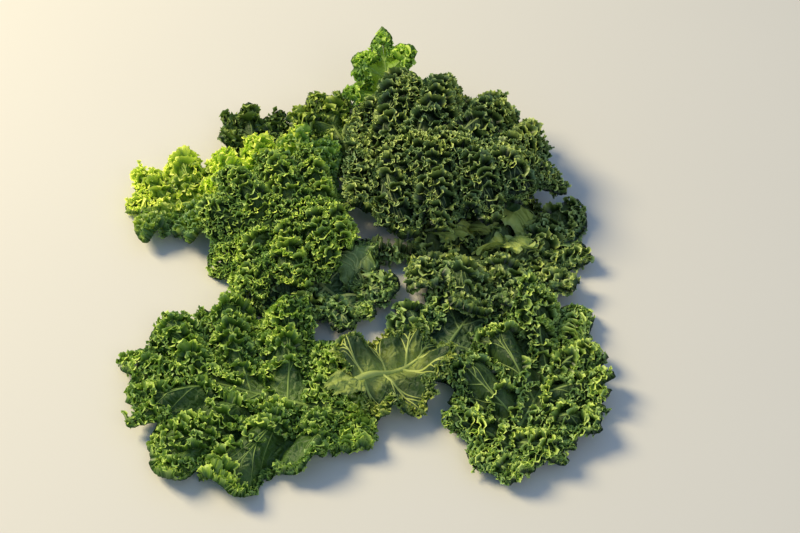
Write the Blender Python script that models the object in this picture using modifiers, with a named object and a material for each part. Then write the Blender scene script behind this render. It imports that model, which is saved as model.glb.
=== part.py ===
"""A bunch of curly kale leaves, heaped on a table as it was put down.

Each leaf is one solid that grew in one piece: a stem, its rib and a lobed blade with a
frilled margin. The leaves lie over each other, and the stems meet under the heap.
"""

import math

import bmesh
import bpy
import numpy as np
from mathutils import Vector
from mathutils.bvhtree import BVHTree

# Driving dimensions of every leaf, in metres
BLADE_THICKNESS = 0.0015
RIB_DEPTH = 0.0048
STEM_HALF_WIDTH = 0.0040
LEAF_GAP = 0.002

# Proportions of a blade
RIB_SHARE = 0.78  # the rib ends this far along the leaf, and the last lobe goes on
VEIN_ANGLE_BASE = math.radians(102)
VEIN_ANGLE_TIP = math.radians(13)
SINUS_DEPTH = 0.46  # how far the cut between two lobes goes in towards the rib
LOBE_FAN = math.radians(4)
SHOULDER = 0.12  # share of the rib over which the blade widens from the stem
COLUMNS_PER_LOBE = 6
ROWS = (0.0, 0.07, 0.38, 0.62, 0.83, 1.0)  # from the rib out to the margin
FRILL_BY_ROW = (0.0, 0.0, 0.55, 0.9, 1.0, 1.0)
RIB_BY_ROW = (1.0, 0.30, 0.0, 0.0, 0.0, 0.0)
SHINGLE = 0.08  # one edge of a lobe rises by this share of its length, the other sinks
PUFF = 0.10  # the middle of a lobe stands this share of its length over the cuts beside it
CURL_START = 0.35
STEM_COLUMNS = 2
BLADE_START = 0.012

# Heights of the heap are read on a square net of this spacing
HEAP_CELL = 0.002
HEAP_HALF_SIDE = 0.30
DRAPE_DILATE = 0.010
DRAPE_TURNS = 4
SETTLE = 0.002
SKY = 1.0

# Every leaf, from the lowest up. base is where the blade leaves the stem. heading, bend,
# pitch, wrap, curl and roll are degrees: bend turns the rib sideways over its length,
# pitch is its slope at the base and at the tip, wrap bends the blade down across the rib,
# and curl turns the margin up. sag is how far the leaf gives where nothing holds it up, and
# press is how far the heap has pressed it flat against the table. A leaf may have its own
# shoulder, and short lists lobes as (side, lobe, share of its length), side -1 on the right.
LEAVES = (
    dict(name="leaf_middle", base=(0.034, -0.078), heading=60, bend=-10, length=0.112,
         width=0.096, stem=0.024, lobes=3, pitch=(2, -3), wrap=6, curl=30, roll=0,
         frill=0.0040, sag=0.020, press=0.003, green=(0.045, 0.105, 0.035), seed=4),
    dict(name="leaf_right_under", base=(0.020, 0.050), heading=-4, bend=8, length=0.150,
         width=0.128, stem=0.040, lobes=4, pitch=(20, -14), wrap=26, curl=35, roll=-8,
         frill=0.0065, sag=0.020, green=(0.050, 0.120, 0.035), seed=11),
    dict(name="leaf_inner_vein", base=(-0.066, 0.045), heading=-44, bend=10, length=0.100,
         width=0.092, stem=0.030, lobes=3, pitch=(6, -16), wrap=16, curl=30, roll=0,
         frill=0.0055, sag=0.020, green=(0.060, 0.130, 0.040), seed=5),
    dict(name="leaf_far_left", base=(-0.106, 0.106), heading=186, bend=0, length=0.098,
         width=0.092, stem=0.045, lobes=3, pitch=(26, -30), wrap=44, curl=25, roll=0,
         frill=0.0065, sag=0.020, green=(0.160, 0.260, 0.050), seed=21),
    dict(name="leaf_back_left", base=(-0.066, 0.157), heading=150, bend=0, length=0.078,
         width=0.066, stem=0.040, lobes=3, pitch=(24, 4), wrap=20, curl=30, roll=0,
         frill=0.0050, sag=0.020, green=(0.060, 0.120, 0.030), seed=9),
    dict(name="leaf_back_middle", base=(-0.013, 0.133), heading=120, bend=0, length=0.092,
         width=0.080, stem=0.040, lobes=3, pitch=(40, -10), wrap=34, curl=30, roll=0,
         frill=0.0060, sag=0.020, green=(0.080, 0.160, 0.035), seed=16),
    dict(name="leaf_back_tip", base=(0.014, 0.159), heading=97, bend=0, length=0.106,
         width=0.068, stem=0.050, lobes=3, pitch=(34, 14), wrap=20, curl=30, roll=0,
         frill=0.0055, sag=0.010, green=(0.150, 0.250, 0.050), seed=31),
    dict(name="leaf_back_right", base=(0.036, 0.096), heading=40, bend=0, length=0.126,
         width=0.108, stem=0.040, lobes=4, pitch=(30, -34), wrap=50, curl=25, roll=0,
         frill=0.0065, sag=0.020, green=(0.055, 0.120, 0.035), seed=8),
    dict(name="leaf_left_light", base=(-0.026, 0.102), heading=178, bend=14, length=0.120,
         width=0.098, stem=0.040, lobes=4, pitch=(34, -30), wrap=44, curl=25, roll=0,
         frill=0.0065, sag=0.020, green=(0.150, 0.250, 0.045), seed=17),
    dict(name="leaf_left_ball", base=(-0.021, 0.085), heading=206, bend=10, length=0.132,
         width=0.132, stem=0.040, lobes=4, pitch=(42, -56), wrap=62, curl=20, roll=0,
         frill=0.0070, sag=0.030, green=(0.085, 0.165, 0.040), seed=25),
    dict(name="leaf_dome", base=(-0.030, 0.126), heading=-8, bend=-16, length=0.210,
         width=0.162, stem=0.012, lobes=5, pitch=(54, -64), wrap=58, curl=20, roll=0,
         frill=0.0080, sag=0.030, green=(0.050, 0.110, 0.035), seed=3),
    dict(name="leaf_front_left", base=(0.014, -0.114), heading=164, bend=4, length=0.212,
         width=0.166, stem=0.006, lobes=5, pitch=(20, -26), wrap=36, curl=25, roll=0,
         shoulder=0.46, short=((-1, 1, 0.7), (-1, 2, 0.78)),
         frill=0.0080, sag=0.030, green=(0.110, 0.210, 0.040), seed=2),
    dict(name="leaf_front_right", base=(0.075, -0.164), heading=62, bend=0, length=0.176,
         width=0.124, stem=0.006, lobes=5, pitch=(28, -26), wrap=32, curl=25, roll=0,
         shoulder=0.38, short=((-1, 1, 0.82), (-1, 2, 0.86)),
         frill=0.0075, sag=0.030, green=(0.110, 0.210, 0.045), seed=7),
    dict(name="leaf_front_centre", base=(-0.023, -0.095), heading=34, bend=10, length=0.090,
         width=0.075, stem=0.008, lobes=3, pitch=(4, -8), wrap=-14, curl=35, roll=180,
         frill=0.0055, sag=0.055, green=(0.120, 0.200, 0.080), seed=13),
)


def clear_scene():
    for obj in list(bpy.data.objects):
        bpy.data.objects.remove(obj, do_unlink=True)


def smooth_step(x):
    x = np.clip(x, 0.0, 1.0)
    return x * x * (3.0 - 2.0 * x)


def curl_profile(curl):
    """How far out and up the blade has come at each share of its own width, and its slope."""
    share = np.linspace(0.0, 1.0, 101)
    angle = math.radians(curl) * smooth_step((share - CURL_START) / (1.0 - CURL_START))
    step = share[1] - share[0]
    out = np.concatenate([[0.0], np.cumsum(np.cos(angle[1:]) * step)])
    up = np.concatenate([[0.0], np.cumsum(np.sin(angle[1:]) * step)])
    return share, out, up, angle


def lobe_reach(leaf, u, phase, scale):
    """Length of the blade from the rib out to the margin, along the vein at u."""
    half = leaf["width"] / 2
    reach = half * (0.70 + 0.42 * np.sin(np.pi * np.clip(u, 0, 1) ** 0.9))
    tip = (1.0 - RIB_SHARE) * leaf["length"] * 1.1
    blend = smooth_step((u - 0.72) / 0.28)
    reach = reach * (1 - blend) + tip * blend
    cut = SINUS_DEPTH * (1.0 - np.abs(np.sin(np.pi * phase)) ** 0.5)
    shoulder = 0.35 + 0.65 * smooth_step(u / leaf.get("shoulder", SHOULDER))
    return reach * (1.0 - cut) * shoulder * scale


def lobe_scale(leaf, side, rng):
    """Share of each lobe on one side. A leaf may have lobes that are shorter still."""
    scale = rng.uniform(0.88, 1.08, leaf["lobes"] + 1)
    for short_side, lobe, share in leaf.get("short", ()):
        if short_side == side:
            scale[lobe] *= share
    return scale


def spine_frames(leaf, along):
    """Point, tangent, left and normal of the rib at each distance along it."""
    step = 0.001
    far = np.arange(-leaf["stem"] - 0.01, leaf["length"] * 1.4, step)
    share = np.clip(far / leaf["length"], 0.0, 1.0)
    yaw = np.radians(leaf["heading"] + leaf["bend"] * (share - 0.5))
    low, high = leaf["pitch"]
    pitch = np.radians(low + (high - low) * share)
    tangent = np.stack(
        [np.cos(pitch) * np.cos(yaw), np.cos(pitch) * np.sin(yaw), np.sin(pitch)], -1
    )
    points = np.cumsum(tangent * step, axis=0)
    zero = np.argmin(np.abs(far))
    points += np.array([*leaf["base"], 0.0]) - points[zero]
    left = np.stack([-np.sin(yaw), np.cos(yaw), np.zeros_like(yaw)], -1)
    normal = np.cross(tangent, left)
    roll = math.radians(leaf["roll"])
    turned_left = left * math.cos(roll) + normal * math.sin(roll)
    turned_normal = normal * math.cos(roll) - left * math.sin(roll)

    def read(values):
        return np.stack([np.interp(along, far, values[:, k]) for k in range(3)], -1)

    return read(points), read(turned_left), read(turned_normal)


def bend_to_spine(leaf, x, y, z):
    """Takes a point of the flat leaf to its place on the curved one."""
    point, left, normal = spine_frames(leaf, x)
    edge_angle = math.radians(leaf["wrap"])
    radius = leaf["width"] / 2 / edge_angle
    angle = y / radius
    across = (radius + z) * np.sin(angle)
    height = (radius + z) * np.cos(angle) - radius
    return point + left * across[..., None] + normal * height[..., None]


def leaf_net(leaf):
    """The blade's upper face as a net of points, columns along the rib by rows across."""
    rng = np.random.default_rng(leaf["seed"])
    columns = int(COLUMNS_PER_LOBE * (leaf["lobes"] + 0.5)) + 1
    u = np.linspace(0.0, 1.0, columns)
    share, out, up, slope = curl_profile(leaf["curl"])
    theta = VEIN_ANGLE_TIP + (VEIN_ANGLE_BASE - VEIN_ANGLE_TIP) * (1 - u ** 1.5)
    rib_x = BLADE_START + (leaf["length"] * RIB_SHARE - BLADE_START) * u
    net = np.zeros((columns + STEM_COLUMNS, 2 * len(ROWS) - 1, 3))
    middle = len(ROWS) - 1
    for side in (-1, 1):
        phase = (leaf["lobes"] + 0.5) * u + (0.12 * side) * np.sin(np.pi * u)
        lobe = np.clip(phase.astype(int), 0, leaf["lobes"])
        scale = lobe_scale(leaf, side, rng)[lobe]
        reach = lobe_reach(leaf, u, phase, scale)
        fan = LOBE_FAN * np.sin(2 * np.pi * phase)
        room = np.minimum(1.0, reach / 0.03) * (1.0 - 0.6 * smooth_step((u - 0.8) / 0.2))
        for row, a in enumerate(ROWS):
            way = np.where((np.arange(columns) + row) % 2 == 0, 1.0, -1.0)
            zig = way * rng.uniform(0.6, 1.2, columns) * FRILL_BY_ROW[row]
            wave = leaf["frill"] * zig * room
            tilt = np.interp(a, share, slope)
            flat_out = np.interp(a, share, out) * reach - wave * math.sin(tilt)
            lift = np.interp(a, share, up) * reach + wave * math.cos(tilt)
            angle = theta + fan * a
            x = rib_x + flat_out * np.cos(angle)
            y = side * flat_out * np.sin(angle)
            z = lift + SHINGLE * reach * a * np.sin(2 * np.pi * phase)
            z += PUFF * reach * smooth_step(a / 0.5) * (np.sin(np.pi * phase) ** 2 - 0.5)
            net[STEM_COLUMNS:, middle + side * row] = bend_to_spine(leaf, x, y, z)
    for column in range(STEM_COLUMNS):
        x = -leaf["stem"] * (1 - column / STEM_COLUMNS)
        across = np.linspace(-1, 1, 2 * len(ROWS) - 1) * STEM_HALF_WIDTH
        net[column] = bend_to_spine(leaf, np.full_like(across, x), across, 0 * across)
    return net


def blade_object(leaf, net, collection):
    """The net as a grid mesh, thickened below, with a deeper rib and stem."""
    columns, rows = net.shape[:2]
    mesh = bpy.data.meshes.new(leaf["name"])
    bm = bmesh.new()
    bmesh.ops.create_grid(bm, x_segments=columns - 1, y_segments=rows - 1, size=1.0)
    deform = bm.verts.layers.deform.verify()
    middle = rows // 2
    for vert in bm.verts:
        column = round((vert.co.x + 1) / 2 * (columns - 1))
        row = round((vert.co.y + 1) / 2 * (rows - 1))
        vert.co = Vector(net[column, row])
        deep = RIB_BY_ROW[abs(row - middle)]
        if column < STEM_COLUMNS:
            deep = 1.0 - 0.5 * (abs(row - middle) / middle) ** 2
        taper = 1.0 - 0.75 * max(0.0, column - STEM_COLUMNS) / (columns - STEM_COLUMNS)
        thin = BLADE_THICKNESS / RIB_DEPTH
        vert[deform][0] = thin + (1 - thin) * deep * taper
    bmesh.ops.triangulate(bm, faces=bm.faces[:], quad_method="FIXED")
    bm.to_mesh(mesh)
    bm.free()
    blade = bpy.data.objects.new(leaf["name"], mesh)
    collection.objects.link(blade)
    blade.vertex_groups.new(name="depth")
    solidify = blade.modifiers.new("thickness", "SOLIDIFY")
    solidify.thickness = RIB_DEPTH
    solidify.offset = -1.0
    solidify.vertex_group = "depth"
    return blade


def apply_modifiers(obj):
    graph = bpy.context.evaluated_depsgraph_get()
    solid = bpy.data.meshes.new_from_object(obj.evaluated_get(graph))
    flat, obj.data = obj.data, solid
    obj.modifiers.clear()
    bpy.data.meshes.remove(flat)


def heap_axis():
    count = int(2 * HEAP_HALF_SIDE / HEAP_CELL) + 1
    return np.linspace(-HEAP_HALF_SIDE, HEAP_HALF_SIDE, count)


def height_maps(mesh):
    """Lowest and highest point of a solid over each cell of the heap's net."""
    axis = heap_axis()
    low = np.full((len(axis), len(axis)), SKY)
    high = np.full((len(axis), len(axis)), -SKY)
    points = np.array([v.co for v in mesh.vertices])
    tree = BVHTree.FromPolygons(points.tolist(), [list(p.vertices) for p in mesh.polygons])
    cells = ((points[:, :2] + HEAP_HALF_SIDE) / HEAP_CELL).round().astype(int)
    np.minimum.at(low, (cells[:, 0], cells[:, 1]), points[:, 2])
    np.maximum.at(high, (cells[:, 0], cells[:, 1]), points[:, 2])
    first, last = cells.min(0), cells.max(0)
    for i in range(first[0], last[0] + 1):
        for j in range(first[1], last[1] + 1):
            place = (axis[i], axis[j])
            hit = tree.ray_cast(Vector((*place, SKY)), Vector((0, 0, -1)))[0]
            if hit is None:
                continue
            high[i, j] = max(high[i, j], hit.z)
            hit = tree.ray_cast(Vector((*place, -SKY)), Vector((0, 0, 1)))[0]
            low[i, j] = min(low[i, j], hit.z)
    return spread(low, HEAP_CELL, np.minimum), spread(high, HEAP_CELL, np.maximum)


def spread(field, radius, take):
    """Each cell takes the highest or the lowest value within radius, along x and then y."""
    reach = int(round(radius / HEAP_CELL))
    for axis in (0, 1):
        wide = field.copy()
        for shift in range(1, reach + 1):
            for way in (-shift, shift):
                moved = np.roll(field, way, axis)
                wide = take(wide, moved)
        field = wide
    return field


def blur(field, radius):
    reach = int(round(radius / HEAP_CELL))
    for axis in (0, 1):
        total = field.copy()
        for shift in range(1, reach + 1):
            total += np.roll(field, shift, axis) + np.roll(field, -shift, axis)
        field = total / (2 * reach + 1)
    return field


def drape(leaf, obj, heap):
    """Lowers the leaf on the heap, so that it gives a little where nothing is under it.

    The first turn lays it down. The next ones lift what its wide triangles still touch, and
    let down what hangs over a gap.
    """
    verts = obj.data.vertices
    clear = heap + np.where(heap > 0, LEAF_GAP, 0)
    for turn in range(DRAPE_TURNS):
        low, high = height_maps(obj.data)
        need = np.where(high > -SKY, clear - low, -SKY)
        least = need.max() - leaf["sag"] if turn == 0 else -SETTLE
        lift = blur(spread(np.maximum(need, least), DRAPE_DILATE, np.maximum), DRAPE_DILATE)
        for vert in verts:
            vert.co.z += sample(lift, vert.co.x, vert.co.y)
    press_flat(verts, leaf.get("press", 0.0))
    obj.data.update()
    return np.maximum(heap, height_maps(obj.data)[1])


def press_flat(verts, press):
    """Sinks a leaf this far into the table, and flattens the underside that would go in."""
    half = len(verts) // 2
    for upper, under in zip(verts[:half], verts[half:]):
        shift = max(-press, -under.co.z)
        upper.co.z += shift
        under.co.z += shift


def sample(field, x, y):
    """The field between its cells."""
    gx, gy = (x + HEAP_HALF_SIDE) / HEAP_CELL, (y + HEAP_HALF_SIDE) / HEAP_CELL
    i, j = int(gx), int(gy)
    fx, fy = gx - i, gy - j
    near = field[i, j] * (1 - fy) + field[i, j + 1] * fy
    far = field[i + 1, j] * (1 - fy) + field[i + 1, j + 1] * fy
    return near * (1 - fx) + far * fx


def leaf_material(leaf):
    material = bpy.data.materials.new(leaf["name"])
    material.use_nodes = True
    shader = material.node_tree.nodes["Principled BSDF"]
    shader.inputs["Base Color"].default_value = (*leaf["green"], 1.0)
    shader.inputs["Roughness"].default_value = 0.5
    shader.inputs["Metallic"].default_value = 0.0
    return material


def stand_on_origin(objects):
    """Puts the origin under the middle of the bunch, on the table."""
    points = np.array([v.co for obj in objects for v in obj.data.vertices])
    low, high = points.min(0), points.max(0)
    shift = Vector((-(low[0] + high[0]) / 2, -(low[1] + high[1]) / 2, -low[2]))
    for obj in objects:
        for vert in obj.data.vertices:
            vert.co += shift


def build():
    clear_scene()
    bunch = bpy.data.collections.new("kale_bunch")
    bpy.context.scene.collection.children.link(bunch)
    heap = np.zeros((len(heap_axis()),) * 2)
    objects = []
    for leaf in LEAVES:
        blade = blade_object(leaf, leaf_net(leaf), bunch)
        blade.data.materials.append(leaf_material(leaf))
        apply_modifiers(blade)
        heap = drape(leaf, blade, heap)
        objects.append(blade)
    stand_on_origin(objects)


build()
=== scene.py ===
import math
import bpy
import numpy as np
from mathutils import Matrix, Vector
from mathutils.bvhtree import BVHTree
from mathutils.kdtree import KDTree


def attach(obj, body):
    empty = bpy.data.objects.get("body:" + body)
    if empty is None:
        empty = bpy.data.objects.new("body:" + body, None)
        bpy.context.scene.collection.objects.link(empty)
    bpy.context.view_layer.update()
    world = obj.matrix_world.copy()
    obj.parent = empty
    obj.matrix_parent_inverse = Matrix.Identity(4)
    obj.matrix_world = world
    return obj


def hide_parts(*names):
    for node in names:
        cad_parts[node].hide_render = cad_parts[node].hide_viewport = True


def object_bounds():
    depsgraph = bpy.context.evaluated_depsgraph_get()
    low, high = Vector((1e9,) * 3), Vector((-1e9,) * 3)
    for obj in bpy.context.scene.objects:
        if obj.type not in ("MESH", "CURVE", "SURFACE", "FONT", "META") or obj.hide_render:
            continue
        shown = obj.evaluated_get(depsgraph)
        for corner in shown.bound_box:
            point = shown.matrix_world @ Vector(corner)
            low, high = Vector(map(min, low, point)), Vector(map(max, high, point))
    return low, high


# A loose heap of curly kale leaves. Each leaf gets a smooth veined blade and a carpet of
# ruffled frills, laid over the net that its plain solid was made from.

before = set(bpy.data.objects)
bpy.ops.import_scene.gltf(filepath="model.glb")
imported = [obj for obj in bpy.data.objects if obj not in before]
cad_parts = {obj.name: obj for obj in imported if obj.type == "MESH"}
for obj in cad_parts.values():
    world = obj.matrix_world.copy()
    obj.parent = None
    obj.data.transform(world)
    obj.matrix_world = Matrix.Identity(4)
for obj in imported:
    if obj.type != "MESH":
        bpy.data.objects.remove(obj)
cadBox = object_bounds()
topOfHeap = cadBox[1][2] - 0.004  # what stands over this is pressed down

# How every leaf grows, as in the plain solids. Metres and radians.
growth = {
    "ribShare": 0.78,  # the rib ends here, and the tip lobe goes on
    "veinAngles": (math.radians(13), math.radians(102)),  # at the tip and at the base
    "sinusDepth": 0.46,
    "sideShift": 0.12,  # how far the lobes of the two sides are out of step
    "lobeSizes": (0.88, 1.08),
    "zigSizes": (0.6, 1.2),
    "oval": (0.7, 0.42),  # least reach and its swell, in half widths
    "tipFrom": 0.72,
    "baseReach": 0.35,
    "lobeFan": math.radians(4),
    "columnsPerLobe": 6,
    "rows": (0.0, 0.07, 0.38, 0.62, 0.83, 1.0),
    "frillByRow": (0.0, 0.0, 0.55, 0.9, 1.0, 1.0),
    "shingle": 0.08,
    "puff": 0.1,
    "curlStart": 0.35,
    "stemColumns": 2,
    "stemHalfWidth": 0.004,
    "bladeStart": 0.012,
    "tableGap": 0.0004,
}

# What the frills are like. Every length is in metres.
frills = {
    "spacing": 0.0054,  # between two rows of frills
    "wave": 0.0048,  # along the blade, from one curl to the next
    "height": 0.0062,
    "swing": 1.55,  # how far a rim turns to each side, in radians
    "swingSmall": 0.9,  # the same for the small curls between
    "smallWaves": 2.35,  # small curls to each large one
    "rootSwing": 0.3,  # share of the swing that is left where the frill leaves the blade
    "step": 0.0012,  # along the rim
    "lip": 0.0019,  # flares out round each curl
    "tooth": 0.0007,
    "notch": 0.2,  # how deep the margin is cut between its curls
    "lump": 0.0048,  # of the blade under the frills
    "puffMore": 0.09,  # share of a lobe's reach that it stands up more than its solid
    "showUnder": 0.01,  # frills go on this far under the leaves above
    "squash": 0.5,  # of what stands over the top of the solids
    "levels": (0.0, 0.55, 1.0),
}

# What a leaf has unless its own line says otherwise. Colours are linear.
usualLeaf = dict(
    bend=0, roll=0, curl=30, height=0.9, shoulder=0.12,
    sinus=0.38,  # how deep the frilled blade is cut between its lobes
    short=(),  # lobes that are shorter, as (side, number, share)
    cut=(),  # margins cut back, as (side, from, to, share); below nought they grow
    bare=(),  # places without frills, as (u, v, half u, half v)
    flaps=(), flap=None,  # smooth lobes that stand up, and their colour
    lumpy=1.0, wave=1.0, lip=1.0, rowGap=1.0, stemHeight=1.0,  # shares of what frills says
    ribThick=1.0, veinThick=1.0, ribFrom=None,  # without a stem the rib begins at ribFrom
    tornBase=0.0,  # how far a torn end reaches past the rib
    zone=0.6,  # how high the pale part of a frill begins, partly its own paler margin and partly painted highlight
    dim=(0.6, 0.7, 0.8),  # of the frills' colour where they are darkest: painted shade, mixed with darker tone at random
    litSide=None,  # the way towards which the frills get paler: painted light on the side that faces the lamp
    palestRib=0.15, paleReach=0.3,  # the pale part of the blade beside the rib
    netVeins=0.25, vein=None,
    glow=0.15,  # share of the light that comes through
)

# The leaves, from the lowest up. frillFrom is the share of the blade, from its rib, where the
# frills begin. Side 1 is to the left of the heading.
leaves = [
    dict(name="leaf_middle", base=(0.034, -0.078), heading=60, bend=-10, length=0.112,
         width=0.096, stem=0.024, lobes=3, pitch=(2, -3), wrap=6,
         frill=0.004, seed=4, slot="leaf_dark", frillFrom=0.3,
         blade=(0.055, 0.116, 0.05), mid=(0.043, 0.09, 0.024), rim=(0.403, 0.589, 0.177)),
    dict(name="leaf_right_under", base=(0.02, 0.05), heading=-4, bend=8, length=0.15,
         width=0.128, stem=0.04, lobes=4, pitch=(20, -14), wrap=26, curl=35, roll=-8,
         frill=0.0065, seed=11, slot="leaf_dark", frillFrom=0.1, height=1.05, stemHeight=2.0,
         wave=1.45, lip=0.85, zone=0.62, ribFrom=0.05, lumpy=1.2, rowGap=1.25,
         cut=((1, 0.45, 1.00, -0.24),),
         flap=(0.6, 0.72, 0.15),
         flaps=(dict(u=0.47, v=0.46, halfU=0.13, halfV=0.2, rise=0.016, free=100, seed=1),
                dict(u=0.62, v=0.04, halfU=0.2, halfV=0.17, rise=0.014, free=-35, seed=2),
                dict(u=0.26, v=0.3, halfU=0.08, halfV=0.13, rise=0.012, free=200, seed=3)),
         bare=((0.57, 0.57, 0.12, 0.2), (0.38, 0.7, 0.05, 0.12), (0.68, 0.92, 0.05, 0.12)),
         blade=(0.075, 0.135, 0.036), mid=(0.034, 0.074, 0.018), rim=(0.52, 0.66, 0.2)),
    dict(name="leaf_inner_vein", base=(-0.066, 0.045), heading=-44, bend=10, length=0.1,
         width=0.092, stem=0.03, lobes=3, pitch=(6, -16), wrap=16,
         frill=0.0055, seed=5, slot="leaf_dark", frillFrom=0.22,
         bare=((0.41, 0.5, 0.12, 0.22), (0.22, 0.8, 0.08, 0.2)), veinThick=1.6,
         cut=((-1, 0.45, 1.2, 0.28), (1, 0.78, 1.2, 0.28), (-1, 0.05, 0.44, -0.16)),
         flap=(0.23, 0.34, 0.1), vein=(0.38, 0.48, 0.16),
         flaps=(dict(u=0.4, v=0.56, halfU=0.25, halfV=0.3, rise=0.006, free=150, seed=4),),
         blade=(0.055, 0.126, 0.046), mid=(0.034, 0.075, 0.021), rim=(0.416, 0.593, 0.167)),
    dict(name="leaf_far_left", base=(-0.106, 0.106), heading=186, length=0.098,
         width=0.092, stem=0.045, lobes=3, pitch=(26, -30), wrap=44, curl=25,
         frill=0.0065, seed=21, glow=0.28, litSide=(-0.65, 0.76), dim=(0.28, 0.42, 0.62),
         slot="leaf_light", frillFrom=0.1, height=1.0,
         blade=(0.196, 0.343, 0.032), mid=(0.225, 0.365, 0.045), rim=(0.82, 0.96, 0.2)),
    dict(name="leaf_back_left", base=(-0.066, 0.157), heading=150, length=0.078,
         width=0.066, stem=0.04, lobes=3, pitch=(24, 4), wrap=20,
         frill=0.005, seed=9, slot="leaf_dark", frillFrom=0.3,
         blade=(0.041, 0.089, 0.018), mid=(0.042, 0.091, 0.016), rim=(0.257, 0.376, 0.085)),
    dict(name="leaf_back_middle", base=(-0.013, 0.133), heading=120, length=0.092,
         width=0.08, stem=0.04, lobes=3, pitch=(40, -10), wrap=34,
         frill=0.006, seed=16, slot="leaf_green", frillFrom=0.2, height=1.0,
         blade=(0.068, 0.141, 0.021), mid=(0.067, 0.134, 0.018), rim=(0.38, 0.515, 0.1)),
    dict(name="leaf_back_tip", base=(0.014, 0.159), heading=97, length=0.106,
         width=0.068, stem=0.05, lobes=3, pitch=(34, 14), wrap=20,
         frill=0.0055, seed=31, glow=0.28,
         slot="leaf_light", frillFrom=0.45,
         blade=(0.183, 0.343, 0.038), mid=(0.23, 0.403, 0.043), rim=(0.675, 0.902, 0.177)),
    dict(name="leaf_back_right", base=(0.036, 0.096), heading=40, length=0.126,
         width=0.108, stem=0.04, lobes=4, pitch=(30, -34), wrap=50, curl=25,
         frill=0.0065, seed=8, slot="leaf_dark", frillFrom=0.3,
         blade=(0.038, 0.093, 0.024), mid=(0.046, 0.114, 0.026), rim=(0.31, 0.456, 0.132)),
    dict(name="leaf_left_light", base=(-0.026, 0.102), heading=178, bend=14, length=0.12,
         width=0.098, stem=0.04, lobes=4, pitch=(34, -30), wrap=44, curl=25,
         frill=0.0065, seed=17, glow=0.28, litSide=(-0.9, 0.44), dim=(0.3, 0.46, 0.7),
         slot="leaf_light", frillFrom=0.1, height=1.0,
         blade=(0.232, 0.392, 0.04), mid=(0.26, 0.445, 0.055), rim=(0.83, 0.97, 0.19)),
    dict(name="leaf_left_ball", base=(-0.021, 0.085), heading=206, bend=10, length=0.132,
         width=0.132, stem=0.04, lobes=4, pitch=(42, -56), wrap=62, curl=20,
         frill=0.007, seed=25, slot="leaf_green", frillFrom=0.0, height=0.92, ribThick=0.5,
         lumpy=0.5, wave=0.95, lip=0.55, zone=0.64, rowGap=0.85, sinus=0.25,
         cut=((1, 0.62, 1.02, -0.12),),
         blade=(0.053, 0.114, 0.016), mid=(0.064, 0.13, 0.015), rim=(0.72, 0.95, 0.19)),
    dict(name="leaf_dome", base=(-0.03, 0.126), heading=-8, bend=-16, length=0.21,
         width=0.162, stem=0.012, lobes=5, pitch=(54, -64), wrap=58, curl=20,
         frill=0.008, seed=3, slot="leaf_dark", frillFrom=0.0, height=1.1, ribThick=0.3,
         ribFrom=0.06, lumpy=0.35, wave=1.3, lip=0.5, zone=0.76, sinus=0.16,
         cut=((-1, 0.34, 0.95, 0.16),),
         bare=((0.6, 0.28, 0.04, 0.09), (0.24, -0.5, 0.05, 0.1)),
         blade=(0.023, 0.056, 0.014), mid=(0.021, 0.048, 0.01), rim=(0.648, 0.818, 0.267)),
    dict(name="leaf_front_left", base=(0.014, -0.114), heading=164, bend=4, length=0.212,
         width=0.166, stem=0.006, lobes=5, pitch=(20, -26), wrap=36, curl=25,
         shoulder=0.46, short=((-1, 1, 0.7), (-1, 2, 0.78)), frill=0.008, seed=2,
         slot="leaf_bright", frillFrom=0.06, height=0.95, ribThick=0.5, ribFrom=0.06, sinus=0.14,
         wave=1.15, lip=0.75,
         cut=((-1, 0.86, 1.3, 0.1), (1, 0.96, 1.3, 0.1), (-1, 0.34, 0.76, -0.2),
              (1, 0.74, 0.99, -0.1)),
         bare=((0.72, 0.46, 0.08, 0.2), (0.6, -0.02, 0.07, 0.15), (0.33, 0.64, 0.12, 0.22),
               (0.44, -0.14, 0.07, 0.15), (0.13, -0.48, 0.06, 0.15)),
         blade=(0.06, 0.131, 0.024), mid=(0.1, 0.212, 0.025), rim=(0.485, 0.69, 0.14)),
    dict(name="leaf_front_right", base=(0.075, -0.164), heading=62, length=0.176,
         width=0.124, stem=0.006, lobes=5, pitch=(28, -26), wrap=32, curl=25,
         shoulder=0.38, short=((-1, 1, 0.82), (-1, 2, 0.86)), frill=0.0075, seed=7,
         slot="leaf_bright", frillFrom=0.08, height=0.92, ribThick=0.5, ribFrom=0.06, sinus=0.18,
         wave=1.1, lip=0.75,
         cut=((-1, 0.08, 0.52, 0.2), (-1, 0.5, 0.96, 0.12), (1, 0.62, 1.02, -0.16)),
         bare=((0.63, 0.54, 0.09, 0.22), (0.42, 0.54, 0.07, 0.15), (0.66, 0.22, 0.05, 0.12),
               (0.62, -0.27, 0.045, 0.1)),
         blade=(0.05, 0.103, 0.023), mid=(0.047, 0.099, 0.014), rim=(0.616, 0.825, 0.206)),
    dict(name="leaf_front_centre", base=(-0.023, -0.095), heading=34, bend=10, length=0.09,
         width=0.075, stem=0.008, lobes=3, pitch=(4, -8), wrap=-14, curl=35, roll=180,
         frill=0.0055, seed=13, slot="leaf_underside", frillFrom=0.84, height=0.7, palestRib=0.95,
         ribFrom=0.0, paleReach=0.58, tornBase=0.026, tornLift=0.004, ribThick=1.6, netVeins=0.5,
         glow=0.35, vein=(0.58, 0.68, 0.17), veinThick=1.25,
         blade=(0.044, 0.096, 0.03), mid=(0.06, 0.135, 0.032), rim=(0.52, 0.64, 0.15)),
]
leaves = [{**usualLeaf, **leaf} for leaf in leaves]


def smoothStep(x):
    x = np.clip(x, 0.0, 1.0)
    return x * x * (3.0 - 2.0 * x)


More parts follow.
